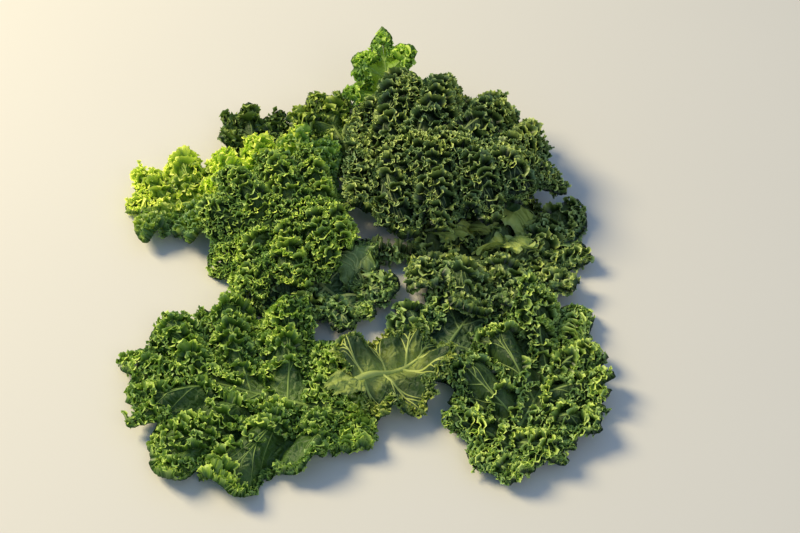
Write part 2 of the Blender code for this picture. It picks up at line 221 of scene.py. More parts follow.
def smoothed(values, reach, axis=0):
    # running mean, with the ends held
    reach = int(reach)
    if reach < 1:
        return values
    values = np.moveaxis(values, axis, 0)
    pad = [(reach + 1, reach)] + [(0, 0)] * (values.ndim - 1)
    total = np.cumsum(np.pad(values, pad, mode="edge"), 0)
    width = 2 * reach + 1
    return np.moveaxis((total[width:] - total[:-width]) / width, 0, axis)


def unit(vectors):
    return vectors / (np.linalg.norm(vectors, axis=-1, keepdims=True) + 1e-12)


def alongLine(at, known, line):
    return np.stack([np.interp(at, known, line[:, k]) for k in range(3)], -1)


def wander(rng, at, pitch):
    # smooth noise from -1 to 1 along a line, one knot every pitch
    knots = rng.uniform(-1, 1, int(np.max(at) / pitch) + 3)
    place = at / pitch
    index = place.astype(int)
    share = smoothStep(place - index)
    return knots[index] * (1 - share) + knots[index + 1] * share


def readGrid(grid, u, v, cellsU, cellsV, ease=None):
    # a value between the points of a grid that spans the blade
    x, y = np.clip(u, 0, 1) * cellsU, (np.clip(v, -1, 1) + 1) / 2 * cellsV
    i = np.minimum(x.astype(int), grid.shape[0] - 2)
    j = np.minimum(y.astype(int), grid.shape[1] - 2)
    fx, fy = x - i, y - j
    if ease:
        fx, fy = ease(fx), ease(fy)
    if grid.ndim == 3:
        fx, fy = fx[..., None], fy[..., None]
    near = grid[i, j] * (1 - fy) + grid[i, j + 1] * fy
    far = grid[i + 1, j] * (1 - fy) + grid[i + 1, j + 1] * fy
    return near * (1 - fx) + far * fx


def patches(rng, u, v, cellsU, cellsV):
    # smooth noise from -1 to 1 over the blade
    grid = rng.uniform(-1, 1, (cellsU + 2, cellsV + 2))
    return readGrid(grid, u, v, cellsU, cellsV, smoothStep)


def readSheet(sheet, key, u, v):
    grid = sheet[key]
    return readGrid(grid, u, v, grid.shape[0] - 1, grid.shape[1] - 1)


def onBlade(sheet, u, v):
    # points of the blade and their normals
    return readSheet(sheet, "points", u, v), readSheet(sheet, "normal", u, v)


def curlProfile(curl):
    # a line from the rib to the margin, which turns up towards the margin
    share = np.linspace(0.0, 1.0, 101)
    start = growth["curlStart"]
    angle = math.radians(curl) * smoothStep((share - start) / (1.0 - start))
    step = share[1] - share[0]
    out = np.concatenate([[0.0], np.cumsum(np.cos(angle[1:]) * step)])
    up = np.concatenate([[0.0], np.cumsum(np.sin(angle[1:]) * step)])
    return share, out, up, angle


def lobePhase(leaf, u, side):
    # counts the lobes from the base to the tip
    return (leaf["lobes"] + 0.5) * u + growth["sideShift"] * side * np.sin(np.pi * u)


def lobeReach(leaf, u, phase, scale, sinus):
    # from the rib to the margin: an oval with cuts between the lobes
    least, swell = growth["oval"]
    reach = leaf["width"] / 2 * (least + swell * np.sin(np.pi * np.clip(u, 0, 1) ** 0.9))
    tip = (1.0 - growth["ribShare"]) * leaf["length"] * 1.1
    blend = smoothStep((u - growth["tipFrom"]) / (1.0 - growth["tipFrom"]))
    reach = reach * (1 - blend) + tip * blend
    cut = sinus * (1.0 - np.abs(np.sin(np.pi * phase)) ** 0.5)
    narrow = growth["baseReach"]
    shoulder = narrow + (1 - narrow) * smoothStep(u / leaf["shoulder"])
    return reach * (1.0 - cut) * shoulder * scale


def veinAngle(u):
    tip, base = growth["veinAngles"]
    return tip + (base - tip) * (1 - u ** 1.5)


def waveRoom(u, reach):
    # waves get smaller where a lobe is short and towards the tip
    return np.minimum(1.0, reach / 0.03) * (1.0 - 0.6 * smoothStep((u - 0.8) / 0.2))


def bladePlace(leaf, side, u, a, phase, reach, theta, wave):
    # a place of the blade before its spine is bent: a is the share of the way to the margin
    share, out, up, slope = curlProfile(leaf["curl"])
    tilt = np.interp(a, share, slope)
    flatOut = np.interp(a, share, out) * reach - wave * np.sin(tilt)
    lift = np.interp(a, share, up) * reach + wave * np.cos(tilt)
    start = growth["bladeStart"]
    ribX = start + (leaf["length"] * growth["ribShare"] - start) * u
    turn = np.sin(2 * np.pi * phase)
    angle = theta + growth["lobeFan"] * turn * a
    z = lift + growth["shingle"] * reach * a * turn
    puff = growth["puff"] * reach * smoothStep(a / 0.5) * (np.sin(np.pi * phase) ** 2 - 0.5)
    return ribX + flatOut * np.cos(angle), side * flatOut * np.sin(angle), z + puff


def spineFrames(leaf, along):
    step = 0.001
    far = np.arange(-leaf["stem"] - 0.01, leaf["length"] * 1.4, step)
    share = np.clip(far / leaf["length"], 0.0, 1.0)
    yaw = np.radians(leaf["heading"] + leaf["bend"] * (share - 0.5))
    low, high = leaf["pitch"]
    pitch = np.radians(low + (high - low) * share)
    tangent = np.stack(
        [np.cos(pitch) * np.cos(yaw), np.cos(pitch) * np.sin(yaw), np.sin(pitch)], -1)
    points = np.cumsum(tangent * step, axis=0)
    points += np.array([*leaf["base"], 0.0]) - points[np.argmin(np.abs(far))]
    left = np.stack([-np.sin(yaw), np.cos(yaw), np.zeros_like(yaw)], -1)
    normal = np.cross(tangent, left)
    roll = math.radians(leaf["roll"])
    turnedLeft = left * math.cos(roll) + normal * math.sin(roll)
    turnedNormal = normal * math.cos(roll) - left * math.sin(roll)
    return [alongLine(along, far, part) for part in (points, turnedLeft, turnedNormal)]


def bendToSpine(leaf, x, y, z):
    point, left, normal = spineFrames(leaf, x)
    radius = leaf["width"] / 2 / math.radians(leaf["wrap"])
    across = (radius + z) * np.sin(y / radius)
    height = (radius + z) * np.cos(y / radius) - radius
    return point + left * across[..., None] + normal * height[..., None]


def coarseNet(leaf):
    # the net of the plain solid, column by column, and the random share of each lobe
    rng = np.random.default_rng(leaf["seed"])
    rows, lobes, stemColumns = growth["rows"], leaf["lobes"], growth["stemColumns"]
    columns = int(growth["columnsPerLobe"] * (lobes + 0.5)) + 1
    u = np.linspace(0.0, 1.0, columns)
    net = np.zeros((columns + stemColumns, 2 * len(rows) - 1, 3))
    middle = len(rows) - 1
    scales = {}
    for side in (-1, 1):
        phase = lobePhase(leaf, u, side)
        lobe = np.clip(phase.astype(int), 0, lobes)
        scales[side] = rng.uniform(*growth["lobeSizes"], lobes + 1)
        for shortSide, shortLobe, shortBy in leaf["short"]:
            if shortSide == side:
                scales[side][shortLobe] *= shortBy
        reach = lobeReach(leaf, u, phase, scales[side][lobe], growth["sinusDepth"])
        for row, a in enumerate(rows):
            way = np.where((np.arange(columns) + row) % 2 == 0, 1.0, -1.0)
            zig = way * rng.uniform(*growth["zigSizes"], columns) * growth["frillByRow"][row]
            wave = leaf["frill"] * zig * waveRoom(u, reach)
            place = bladePlace(leaf, side, u, a, phase, reach, veinAngle(u), wave)
            net[stemColumns:, middle + side * row] = bendToSpine(leaf, *place)
    for column in range(stemColumns):
        x = -leaf["stem"] * (1 - column / stemColumns)
        across = np.linspace(-1, 1, 2 * len(rows) - 1) * growth["stemHalfWidth"]
        net[column] = bendToSpine(leaf, np.full_like(across, x), across, 0 * across)
    return net, scales


def solidPoints(leaf):
    return np.array([v.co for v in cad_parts[leaf["name"]].data.vertices])


def findShift(leaf):
    # how far the heap was moved sideways onto its origin: the step that takes most points of
    # a net onto points of its solid
    stepsPerMetre = 20000
    flat = coarseNet(leaf)[0].reshape(-1, 3)[:, :2]
    steps = (solidPoints(leaf)[:, None, :2] - flat[None]).reshape(-1, 2)
    index, count = np.unique((steps * stepsPerMetre).round().astype(int), axis=0,
                             return_inverse=True, return_counts=True)[1:]
    return np.median(steps[index.ravel() == count.argmax()], axis=0)


def dropOnHeap(leaf, net):
    # how far each point of the net was lifted or sunk when its leaf was laid on the heap
    near = 0.0001
    points = solidPoints(leaf)
    flat = net.reshape(-1, 3)
    at = flat[:, :2] + heapShift
    drop = np.full(len(flat), np.nan)
    for k, place in enumerate(at):
        close = points[np.hypot(*(points[:, :2] - place).T) < near, 2]
        if len(close):
            drop[k] = (close.min() if leaf["roll"] == 180 else close.max()) - flat[k, 2]
    missed = np.isnan(drop)
    if missed.any():
        drop[missed] = np.nanmedian(drop)
    print("  net points not found:", int(missed.sum()), "of", len(flat))
    return drop.reshape(net.shape[:2])


# The fine net that the blade and the frills lie on.
fineNet = {
    "lines": (401, 61),  # along the rib, and from the rib to the margin
    "notches": 6.0,  # of the margin, in each lobe
    "cutEase": 0.12,  # share of the rib over which a cut of the margin begins and ends
    "pleats": 3,  # in each lobe
    "pleatHeight": 0.3,  # share of the frill of the plain solid
    "pleatTurn": 2.2,  # how far the pleats wander, in radians
    "turnCells": (7, 6),
    "lumpSize": (0.016, 0.015),
    "stemPoints": 14,
    "rayStep": (5, 3),  # every so many lines are looked at for leaves above them
    "rayClear": 0.003,
}


def fineHalf(rng, leaf, side, scales, u, a):
    # one half of the blade: its flat places, its height, the count of lobes and their reach
    phase = lobePhase(leaf, u, side)
    middles = np.arange(leaf["lobes"] + 1) + 0.5
    scale = np.interp(phase[:, 0], middles, scales[side])[:, None]
    reach = lobeReach(leaf, u, phase, scale, leaf["sinus"])
    notch = wander(rng, u, 1 / (fineNet["notches"] * leaf["lobes"]))
    reach = reach * (1.0 - frills["notch"] * np.maximum(notch, 0.0) * smoothStep((a - 0.3) / 0.7))
    for cutSide, cutFrom, cutTo, cutBy in leaf["cut"]:
        if cutSide == side:
            ease = fineNet["cutEase"]
            within = smoothStep((u - cutFrom) / ease) * smoothStep((cutTo - u) / ease)
            reach = reach * (1.0 - cutBy * within)
    gridU, gridV = u + 0 * a, side * a + 0 * u
    turn = fineNet["pleatTurn"] * patches(rng, gridU, gridV, *fineNet["turnCells"])
    pleat = np.sin(2 * np.pi * fineNet["pleats"] * phase + turn + 1.2 * side)
    pleat = pleat * smoothStep((a - 0.12) / 0.7)
    lumpU, lumpV = fineNet["lumpSize"]
    lump = patches(rng, gridU, gridV, int(leaf["length"] / lumpU), int(leaf["width"] / lumpV))
    lump = frills["lump"] * leaf["lumpy"] * lump * smoothStep(a / 0.3)
    wave = (leaf["frill"] * fineNet["pleatHeight"] * pleat + lump) * waveRoom(u, reach)
    theta = veinAngle(u) * (1 - 0.9 * smoothStep((u - 0.88) / 0.12))
    x, y, z = bladePlace(leaf, side, u, a, phase, reach, theta, wave)
    puff = frills["puffMore"] * leaf["lumpy"] * reach * smoothStep(a / 0.4)
    return x, y, z + puff * (np.sin(np.pi * phase) ** 2 - 0.6), phase, reach


def leafSheet(leaf):
    # the blade as a fine net: its points, normals, flat places and the reach of its lobes
    net, scales = coarseNet(leaf)
    drop = dropOnHeap(leaf, net)
    stemColumns, rows = growth["stemColumns"], np.array(growth["rows"])
    countU, countA = fineNet["lines"]
    u = np.linspace(0.0, 1.0, countU)[:, None]
    a = np.linspace(0.0, 1.0, countA)[None, :]
    rng = np.random.default_rng(leaf["seed"] + 100)
    size = (countU, 2 * countA - 1)
    sheet, flat = np.zeros((*size, 3)), np.zeros((*size, 3))
    phases, reaches = np.zeros(size), np.zeros(size)
    for side in (-1, 1):
        x, y, z, phase, reach = fineHalf(rng, leaf, side, scales, u, a)
        columns = slice(countA - 1, None) if side == 1 else slice(countA - 1, None, -1)
        sheet[:, columns] = bendToSpine(leaf, x, y, z)
        flat[:, columns] = np.stack([x, y, 0 * x], -1)
        phases[:, columns] = phase
        reaches[:, columns] = reach
    # the drop, read between the points of the coarse net
    v = np.linspace(-1.0, 1.0, 2 * countA - 1)
    netV = np.concatenate([-rows[::-1], rows[1:]])
    netU = np.linspace(0.0, 1.0, net.shape[0] - stemColumns)
    across = np.stack([np.interp(v, netV, line) for line in drop[stemColumns:]])
    drops = np.stack([np.interp(u[:, 0], netU, across[:, k]) for k in range(len(v))], 1)
    for turns in range(2):
        drops = smoothed(smoothed(drops, 0.6 * countU / len(netU)), 3, axis=1)
    sheet[..., 2] += drops
    sheet[..., :2] += heapShift
    sheet[..., 2] = np.maximum(sheet[..., 2], growth["tableGap"])
    # the line of the stem
    far = np.linspace(-leaf["stem"], growth["bladeStart"], fineNet["stemPoints"])
    stem = bendToSpine(leaf, far, 0 * far, 0 * far)
    stemX = np.concatenate([
        -leaf["stem"] * (1 - np.arange(stemColumns) / stemColumns), [growth["bladeStart"]]])
    stemDrop = [*drop[:stemColumns, len(rows) - 1], drops[0, countA - 1]]
    stem[:, 2] += np.interp(far, stemX, stemDrop)
    stem[:, :2] += heapShift
    sign = -1.0 if leaf["roll"] == 180 else 1.0  # the face that lies uppermost
    normal = unit(np.cross(np.gradient(sheet, axis=0), np.gradient(sheet, axis=1)))
    normal = unit(smoothed(smoothed(normal * sign, 4), 1, axis=1))
    return dict(points=sheet, normal=normal, flat=flat, phase=phases, reach=reaches,
                u=u[:, 0], v=v, stem=stem)


def openPlaces(leaf, sheet):
    # 1 where a place of the blade can be seen, 0 where other leaves lie well over it
    trees = []
    for name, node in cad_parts.items():
        if name != leaf["name"]:
            corners = [v.co for v in node.data.vertices]
            sides = [list(p.vertices) for p in node.data.polygons]
            trees.append(BVHTree.FromPolygons(corners, sides))
    stepU, stepV = fineNet["rayStep"]
    places = sheet["points"][::stepU, ::stepV]
    seen = np.ones(places.shape[:2])
    up = Vector((0.0, 0.0, 1.0))
    for i, j in np.ndindex(seen.shape):
        start = Vector(places[i, j]) + up * fineNet["rayClear"]
        if any(tree.ray_cast(start, up)[0] is not None for tree in trees):
            seen[i, j] = 0.0
    flat = places.reshape(-1, 3)
    shown = flat[seen.ravel() > 0.5]
    if len(shown) == 0:
        return np.zeros(sheet["points"].shape[:2])
    tree = KDTree(len(shown))
    for k, place in enumerate(shown):
        tree.insert(place, k)
    tree.balance()
    away = np.array([tree.find(place)[2] for place in flat]).reshape(seen.shape)
    seen = (away < frills["showUnder"]).astype(float)
    rows = np.linspace(0, seen.shape[0] - 1, sheet["points"].shape[0])
    columns = np.linspace(0, seen.shape[1] - 1, sheet["points"].shape[1])
    return seen[np.ix_(rows.round().astype(int), columns.round().astype(int))]


def swinging(rng, along, period, loose, pitch, times):
    # the phase of a swing whose period wanders
    rate = 1.0 + loose * wander(rng, along, period * pitch)
    return np.cumsum(rate) * along[1] * 2 * math.pi * times / period + rng.uniform(0, 6.28)


def meander(rng, length, wave):
    # the turning angle of a ruffled rim at each step along it
    guess = np.linspace(-math.pi, math.pi, 200)
    swing, small = frills["swing"], frills["swingSmall"]
    shrink = np.cos(swing * np.sin(guess)).mean() * np.cos(small * np.sin(guess)).mean()
    along = np.arange(max(8, int(length / shrink / frills["step"]))) * frills["step"]
    period = wave / shrink
    first = swinging(rng, along, period, 0.3, 1.1, 1)
    second = swinging(rng, along, period, 0.35, 0.8, frills["smallWaves"])
    strength = 1.0 + 0.3 * wander(rng, along, period * 1.2)
    return swing * strength * np.sin(first) + small * np.sin(second)


def netPart(points, keep=slice(None), **facts):
    # a net of points as lists: points, faces and what is known of each point
    index = np.arange(points[..., 0].size).reshape(points.shape[:2])
    faces = np.stack([index[:-1, :-1], index[1:, :-1], index[1:, 1:], index[:-1, 1:]], -1)
    facts["points"] = points
    part = {key: values.reshape(index.size, *values.shape[2:]) for key, values in facts.items()}
    part["faces"] = faces[keep].reshape(-1, 4)
    return part


def joinParts(parts):
    # lists of several nets end to end, with their faces renumbered
    starts = np.cumsum([0] + [len(part["points"]) for part in parts])
    for part, start in zip(parts, starts):
        part["faces"] = part["faces"] + start
    return {key: np.concatenate([part[key] for part in parts]) for key in parts[0]}


# The rows of frills on one leaf. Leans are in degrees from upright, outwards.
frillRows = {
    "rowDrift": 0.55,  # of a row to and fro, as a share of the spacing
    "underShares": (0.985, 0.95, 0.89),  # rows round the margin that hang out and down
    "underLean": 80,
    "underTurn": 500,  # more for each share away from the margin
    "underWander": 40,
    "underHeight": 0.72,
    "marginLean": 62,
    "leanWander": 26,
    "looseWander": 12,  # more near the margin
    "shortestStem": 0.02,  # that has frills
    "stemLean": {"stem": 62, "stem side": 88},
    "stemHeight": {"stem": 0.8, "stem side": 1.6},
    "thickCells": (9, 8),
    "clumpSize": (0.013, 0.012),
    "stemClump": 0.009,
    "leastCover": 0.04,  # below this a ribbon has no faces
}


def rowKinds(leaf, meanReach):
    # the rows of a leaf: side, share of the way to the margin, and kind
    begin = leaf["frillFrom"]
    spacing = frills["spacing"] * leaf["rowGap"]
    rowCount = max(1, int(round((1 - begin) * meanReach / spacing)))
    shares = [*np.linspace(1.0, begin, rowCount + 1)[:-1], begin + 0.02]
    kinds = []
    for side in (-1, 1):
        kinds.append((side, shares[0], "margin"))
        kinds += [(side, share, "inner") for share in shares[1:]]
        kinds += [(side, share, "under") for share in frillRows["underShares"]]
        if leaf["stem"] > frillRows["shortestStem"]:
            kinds += [(side, 0.0, kind) for kind in frillRows["stemLean"]]
    return kinds


def rowPath(rng, leaf, sheet, meanReach, wave, side, share, kind):
    # the line that a row stands on: how its rim turns, distances, places, points and normals
    dense = np.linspace(0.0, 1.0, 500)
    drift = wander(rng, dense * 5 * leaf["lobes"], 1.0) * frillRows["rowDrift"]
    drift = drift * frills["spacing"] / meanReach
    if kind != "inner":
        drift = drift * 0.3 - 0.02
    vLine = side * np.clip(share + drift, 0.02, 1.0)
    line = readSheet(sheet, "points", dense, vLine)
    stem = sheet["stem"]
    if kind in frillRows["stemLean"]:
        line = alongLine(dense * (len(stem) - 1), np.arange(len(stem)), stem)
    gaps = np.linalg.norm(np.diff(line, axis=0), axis=1)
    arc = np.concatenate([[0.0], np.cumsum(gaps)])
    turning = meander(rng, arc[-1], wave)
    distance = np.linspace(0, arc[-1], len(turning))
    u, v = np.interp(distance, arc, dense), np.interp(distance, arc, vLine)
    root, normal = onBlade(sheet, u, v)
    if kind in frillRows["stemLean"]:
        root = alongLine(u, dense, line)
        normal = np.repeat(onBlade(sheet, np.zeros(1), np.zeros(1))[1], len(u), 0)
    return turning, distance, u, v, root, normal


def rowCover(leaf, sheet, seed, u, v):
    # where the blade carries frills, from 0 to 1, and where they stand in clumps
    rng = np.random.default_rng(seed)
    thick = patches(rng, u, v, *frillRows["thickCells"])
    clumpU, clumpV = frillRows["clumpSize"]
    clumps = patches(rng, u, v, int(leaf["length"] / clumpU), int(leaf["width"] / clumpV))
    cover = smoothStep((np.abs(v) - leaf["frillFrom"] + 0.1 * thick + 0.03) / 0.05)
    for placeU, placeV, halfU, halfV in leaf["bare"]:
        away = np.hypot((u - placeU) / halfU, (v - placeV) / halfV) + 0.25 * thick
        cover = cover * smoothStep((away - 0.9) / 0.2)
    return cover * readSheet(sheet, "seen", u, v), clumps


def frillRow(rng, leaf, sheet, meanReach, coverSeed, side, share, kind):
    # one ruffled ribbon: its points ring by ring, and the cover, tone and distance of each ring
    size = leaf["height"]
    wave = frills["wave"] * (0.4 + 0.6 * size) * leaf["wave"]
    path = rowPath(rng, leaf, sheet, meanReach, wave, side, share, kind)
    turning, distance, u, v, root, normal = path
    steps, length = len(turning), distance[-1]
    tangent = smoothed(unit(np.gradient(root, axis=0)), 3)
    flip = -side if leaf["roll"] == 180 else side
    outward = unit(np.cross(tangent, normal) * flip)
    # the frill leans out more and more towards the margin
    lean = math.radians(frillRows["marginLean"]) * smoothStep((abs(v) - 0.8) / 0.2)
    loose = smoothStep((abs(v) - 0.75) / 0.2)
    sway = np.radians(frillRows["leanWander"] + frillRows["looseWander"] * loose)
    lean = lean + sway * wander(rng, distance, wave * 1.4)
    if kind == "under":
        lean = math.radians(frillRows["underLean"] + frillRows["underTurn"] * (1 - share))
        sway = math.radians(frillRows["underWander"])
        lean = lean + sway * wander(rng, distance, wave * 1.5)
    cover, clumps = rowCover(leaf, sheet, coverSeed, u, v)
    crowd = readSheet(sheet, "reach", u, v) / meanReach
    valley = np.abs(np.sin(np.pi * readSheet(sheet, "phase", u, v)))
    valley = 1.0 - (1.0 - valley) * smoothStep(np.abs(v) / 0.5)
    if kind in frillRows["stemLean"]:
        lean = lean + math.radians(frillRows["stemLean"][kind])
        clumps = wander(rng, distance, frillRows["stemClump"])
        cover = smoothStep(u / 0.1) * smoothStep((1 - u) / 0.05 + 0.4)
        crowd = 0 * u + 0.5
        valley = 0 * u + frillRows["stemHeight"][kind] * leaf["stemHeight"]
    stand = normal * np.cos(lean)[:, None] + outward * np.sin(lean)[:, None]
    sideways = outward * np.cos(lean)[:, None] - normal * np.sin(lean)[:, None]
    high = frills["height"] * size * (0.62 + 0.38 * np.clip(crowd, 0.2, 1.2))
    high = high * (1.0 + 0.4 * leaf["lumpy"] * clumps + 0.25 * wander(rng, distance, wave * 0.7))
    high = high * np.sqrt(cover) * (0.6 + 0.45 * valley)
    high = high * (1.0 - 0.22 * loose + 0.35 * loose * wander(rng, distance, wave * 1.1))
    if kind == "under":
        high = high * frillRows["underHeight"]
    tooth = frills["tooth"] * np.where(np.arange(steps) % 2 == 0, 1.0, -1.0)
    tooth = tooth * rng.uniform(0.4, 1.3, steps)
    window = wave / length * steps * 1.5
    rings = []
    for level in frills["levels"]:
        bent = turning * (frills["rootSwing"] + (1 - frills["rootSwing"]) * level ** 0.8)
        cosine, sine = np.cos(bent), np.sin(bent)
        scale = length / max(cosine.sum(), 1e-6)
        ahead, aside = np.cumsum(cosine) * scale - distance, np.cumsum(sine) * scale
        ahead, aside = ahead - smoothed(ahead, window), aside - smoothed(aside, window)
        rise = high * level + (tooth * cover if level == frills["levels"][-1] else 0.0)
        rings.append(root + tangent * ahead[:, None] + sideways * aside[:, None]
                     + stand * rise[:, None])
    # the lip flares out round each curl
    lip = frills["lip"] * leaf["lip"]
    edge = -tangent * np.sin(turning)[:, None] + sideways * np.cos(turning)[:, None]
    curve = smoothed(np.gradient(turning), 1)
    curve = -np.clip(curve / (np.abs(curve).mean() * 1.3 + 1e-9), -1, 1)
    flare = lip * (0.75 + 0.55 * np.repeat(rng.uniform(-1, 1, steps // 2 + 1), 2)[:steps])
    flare = (edge * (curve * flare)[:, None]
             + stand * (lip * (0.55 - 0.5 * np.abs(curve)))[:, None])
    rings.append(rings[-1] + flare * np.sqrt(cover)[:, None])
    rings = np.stack(rings, 1)
    rings[..., 2] = np.maximum(rings[..., 2], growth["tableGap"])
    rings[..., 2] -= np.maximum(rings[..., 2] - topOfHeap, 0.0) * frills["squash"]
    # painted shade: the tone is low in the cuts between the lobes, where valley is low; the
    # clumps and the wander change it at random
    tone = 0.05 + 0.5 * valley + 0.3 * clumps + 0.25 * wander(rng, distance, wave * 2.5)
    tone = tone + 0.15 * wander(rng, distance, wave * 0.5)
    # painted light: the frills get paler on the side of the leaf that faces the lamp
    if leaf["litSide"]:
        litWay = np.array(leaf["litSide"])
        wholeLeaf = sheet["points"][..., :2] @ litWay
        tone = tone + 2.0 * (root[:, :2] @ litWay - wholeLeaf.mean()) / np.ptp(wholeLeaf)
    if kind in frillRows["stemLean"]:
        tone = 0 * tone
    return rings, cover, tone, distance / length


def frillStrips(leaf, sheet):
    rng = np.random.default_rng(leaf["seed"] + 500)
    meanReach = float(sheet["reach"].mean())
    coverSeed = int(rng.integers(1 << 30))
    level = np.append(np.array(frills["levels"]) * 0.86, 1.0)[None]
    kinds = rowKinds(leaf, meanReach)
    parts = []
    for number, kind in enumerate(kinds):
        rings, cover, tone, along = frillRow(rng, leaf, sheet, meanReach, coverSeed, *kind)
        covered = cover > frillRows["leastCover"]
        zero = 0 * tone[:, None] + 0 * level
        across = (number + 0.06 + 0.88 * level) / len(kinds)
        parts.append(netPart(rings, covered[:-1] & covered[1:], rim=level + zero,
                             tone=tone[:, None] + zero,
                             strips=np.stack([along[:, None] + zero, across + zero], -1)))
    return joinParts(parts)


def addObject(name, data):
    thing = bpy.data.objects.new(name, data)
    bpy.context.scene.collection.objects.link(thing)
    return thing


def makeMesh(name, material, points, faces, strips, **facts):
    mesh = bpy.data.meshes.new(name)
    used = np.zeros(len(points), bool)
    used[faces.ravel()] = True
    renumber = np.cumsum(used) - 1
    faces = renumber[faces]
    points, strips = points[used], strips[used]
    mesh.vertices.add(len(points))
    mesh.vertices.foreach_set("co", points.astype(np.float32).ravel())
    mesh.loops.add(faces.size)
    mesh.loops.foreach_set("vertex_index", faces.astype(np.int32).ravel())
    mesh.polygons.add(len(faces))
    starts = np.arange(len(faces), dtype=np.int32) * faces.shape[1]
    mesh.polygons.foreach_set("loop_start", starts)
    mesh.update(calc_edges=True)
    mesh.validate()
    mesh.polygons.foreach_set("use_smooth", np.ones(len(mesh.polygons), bool))
    layer = mesh.uv_layers.new(name="OFBake")
    corner = np.zeros(len(mesh.loops), np.int32)
    mesh.loops.foreach_get("vertex_index", corner)
    layer.uv.foreach_set("vector", strips[corner].astype(np.float32).ravel())
    for known, values in facts.items():
        kind, key = ("FLOAT_VECTOR", "vector") if values.ndim == 2 else ("FLOAT", "value")
        attribute = mesh.attributes.new(known, kind, "POINT")
        attribute.data.foreach_set(key, values[used].astype(np.float32).ravel())
    mesh.materials.append(material)
    mesh.update()
    return addObject(name, mesh)


# The smooth lobes that stand over the frills, each with its own place in its leaf's flaps.
smoothLobe = {
    "count": 41,
    "edge": ((3, 0.15), (7, 0.1), (17, 0.07), (29, 0.03)),  # waves round it, and how deep
    "cup": 0.006,
    "droop": 0.0035,
    # how far each vein turns from the middle one, in radians, and its radius
    "veins": ((0.0, 0.0008), (0.75, 0.0005), (-0.75, 0.0005), (1.3, 0.0004)),
}


def flapPoints(sheet, flap, x, y):
    # places on a smooth lobe that stands over the frills beside it, for x and y on a disc
    radius, angle = np.hypot(x, y), np.arctan2(y, x)
    turn = np.random.default_rng(flap["seed"]).uniform(0, 6.28, 6)
    edge = sum((deep * np.sin(waves * angle + start)
                for (waves, deep), start in zip(smoothLobe["edge"], turn)), 1.0)
    u = np.clip(flap["u"] + flap["halfU"] * x * edge, 0.0, 1.0)
    v = np.clip(flap["v"] + flap["halfV"] * y * edge, -1.0, 1.0)
    free = math.radians(flap["free"])
    aside = y * math.cos(free) - x * math.sin(free)
    lift = flap["rise"] * (0.4 + 0.35 * (1 + x * math.cos(free) + y * math.sin(free)))
    lift = lift + smoothLobe["cup"] * np.abs(aside) ** 1.3 - smoothLobe["droop"] * radius ** 2
    ruffle = 0.0012 * np.sin(5 * angle + turn[3]) * radius ** 2
    ruffle = ruffle + 0.003 * np.sin(11 * angle + turn[4]) * radius ** 5
    ruffle = ruffle + 0.0014 * radius ** 8 * np.sin(23 * angle + turn[5])
    places, normal = onBlade(sheet, u, v)
    return places + normal * (lift + ruffle)[..., None], normal, u, v


def flapGrid(leaf, sheet):
    # the smooth lobes of one leaf
    side = np.linspace(-1.0, 1.0, smoothLobe["count"])
    s, t = np.meshgrid(side, side, indexing="ij")
    x, y = s * np.sqrt(1 - t * t / 2), t * np.sqrt(1 - s * s / 2)
    found = []
    for number, flap in enumerate(leaf["flaps"]):
        places, normal, u, v = flapPoints(sheet, flap, x, y)
        along = (number + (s + 1.02) / 2.04) / len(leaf["flaps"])
        strips = np.stack([along, 0.01 + 0.22 * (t + 1) / 2], -1)
        found.append(netPart(places, strips=strips, place=readSheet(sheet, "flat", u, v),
                             out=0.25 + 0.5 * np.hypot(x, y), smooth=1.0 + 0 * x))
    return found


# The torn end of a blade. Lengths are in metres.
tornEnd = {
    "count": (21, 45),
    "back": 0.006,  # how far it goes back under the blade
    "half": 0.003,
    "widens": 0.009,
    "ripple": 0.0016,
    "grain": 0.0008,
}


def tornBase(leaf, sheet):
    # the blade drawn out past the end of its rib, where it was torn off
    rng = np.random.default_rng(leaf["seed"] + 300)
    rib = sheet["points"][0, sheet["points"].shape[1] // 2]
    back = sheet["stem"][0] - sheet["stem"][-1]
    back[2] = 0.0
    back /= np.linalg.norm(back)
    aside = np.array([-back[1], back[0], 0.0])
    along, across = tornEnd["count"]
    v = np.linspace(-1.0, 1.0, across)[None, :]
    t = np.linspace(0.0, 1.0, along)[:, None]
    torn = 0.78 + 0.2 * wander(rng, v + 1, 0.4) + 0.12 * wander(rng, v + 1, 0.09)
    far = leaf["tornBase"] * (torn - 0.3 * v ** 2) * t - tornEnd["back"] * (1 - t)
    half = tornEnd["half"] + tornEnd["widens"] * smoothStep(2.2 * t)
    half = half * (1.0 + 0.2 * wander(rng, t + 1, 0.12))
    lift = 0.0012 + leaf["tornLift"] * smoothStep(1.5 * t) - 0.003 * v ** 2 * t
    lift = lift + tornEnd["ripple"] * np.sin(v * 8 + 1.5) * t
    lift = lift + tornEnd["grain"] * np.sin(far * 700 + v * 4)
    points = rib + back * far[..., None] + aside * (v * half)[..., None]
    points[..., 2] += lift
    strips = np.stack([0.3 * t + 0 * v, 0.01 + 0.22 * (v + 1) / 2 + 0 * t], -1)
    flat = np.stack([-far, v * half, 0 * far], -1)
    return netPart(points, strips=strips, place=flat, out=0.16 * np.abs(v) + 0 * t,
                   smooth=0 * v * t)


def bladeParts(leaf, sheet):
    # the lamina, as every few lines of the fine sheet, and the smooth lobes over it
    stepU, stepV, edge = 4, 3, 3
    lines = (slice(None, None, stepU), slice(edge, -edge, stepV))
    gridU, gridV = np.meshgrid(sheet["u"][lines[0]], sheet["v"][lines[1]], indexing="ij")
    strips = np.stack([gridU, 0.25 + 0.75 * (gridV + 1) / 2], -1)
    parts = [netPart(sheet["points"][lines], strips=strips, place=sheet["flat"][lines],
                     out=np.abs(gridV), smooth=0 * gridV)]
    if leaf["tornBase"]:
        parts.append(tornBase(leaf, sheet))
    blade = joinParts(parts + flapGrid(leaf, sheet))
    height = blade["points"][:, 2]
    blade["points"][:, 2] = np.clip(height, growth["tableGap"], topOfHeap + 0.002)
    return blade


